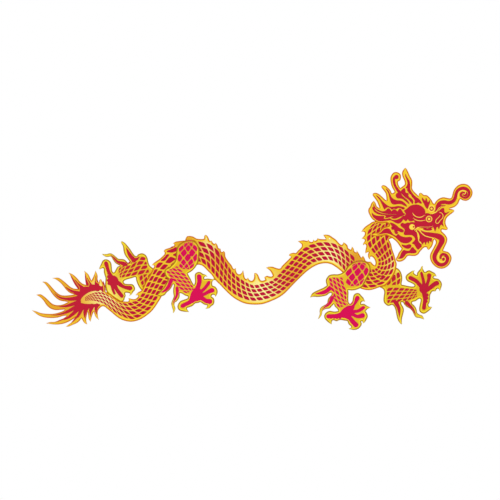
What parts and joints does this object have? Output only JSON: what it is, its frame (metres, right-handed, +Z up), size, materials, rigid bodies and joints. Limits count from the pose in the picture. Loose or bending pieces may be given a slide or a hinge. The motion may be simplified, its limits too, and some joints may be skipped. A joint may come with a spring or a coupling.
{
  "type": "jointed dragon cut-out",
  "caption": "Flat foil-faced card dragon whose head, tail and clawed legs turn on stepped rivets, hung from its back by holes in the spine fringe.",
  "frame": {"origin": "midway between the two hang holes, in the middle plane of the body card", "axes": "+X along the dragon toward its head, +Z up, +Y back through the cards; the front face looks toward -Y"},
  "size_m": [0.9141, 0.0054, 0.3362],
  "materials": {
    "foil_card": "gold metallic foil laminate, printed with crimson shapes",
    "rivet": "crimson lacquer, satin"
  },
  "bodies": {
    "body": {"body_card": "foil_card", "head_stud": "rivet", "head_socket": "rivet", "shoulder_stud": "rivet", "shoulder_socket": "rivet", "chest_stud": "rivet", "chest_socket": "rivet", "hip_stud": "rivet", "hip_socket": "rivet"},
    "head": {"head_card": "foil_card"},
    "rear": {"rear_card": "foil_card", "flank_stud": "rivet", "flank_socket": "rivet"},
    "near_front": {"near_front_leg": "foil_card"},
    "far_front": {"far_front_leg": "foil_card"},
    "near_hind": {"near_hind_leg": "foil_card"},
    "far_hind": {"far_hind_leg": "foil_card"}
  },
  "joints": [
    {"name": "head_tilt", "type": "hinge", "parent": "body", "child": "head", "pos_m": [0.25936, -0.0012, 0.02179], "axis": [0, -1, 0], "range_deg": [-20, 20]},
    {"name": "tail_swing", "type": "hinge", "parent": "body", "child": "rear", "pos_m": [-0.16392, -0.0012, -0.03631], "axis": [0, -1, 0], "range_deg": [-30, 30]},
    {"name": "near_front_leg_swing", "type": "hinge", "parent": "body", "child": "near_front", "pos_m": [0.18467, -0.0012, -0.07366], "axis": [0, -1, 0], "range_deg": [-40, 40]},
    {"name": "far_front_leg_swing", "type": "hinge", "parent": "body", "child": "far_front", "pos_m": [0.23861, 0.0012, -0.07988], "axis": [0, -1, 0], "range_deg": [-40, 40]},
    {"name": "near_hind_leg_swing", "type": "hinge", "parent": "rear", "child": "near_hind", "pos_m": [-0.16392, -0.0024, -0.03631], "axis": [0, -1, 0], "range_deg": [-35, 35]},
    {"name": "far_hind_leg_swing", "type": "hinge", "parent": "rear", "child": "far_hind", "pos_m": [-0.22409, 0, -0.08611], "axis": [0, -1, 0], "range_deg": [-30, 30]}
  ]
}
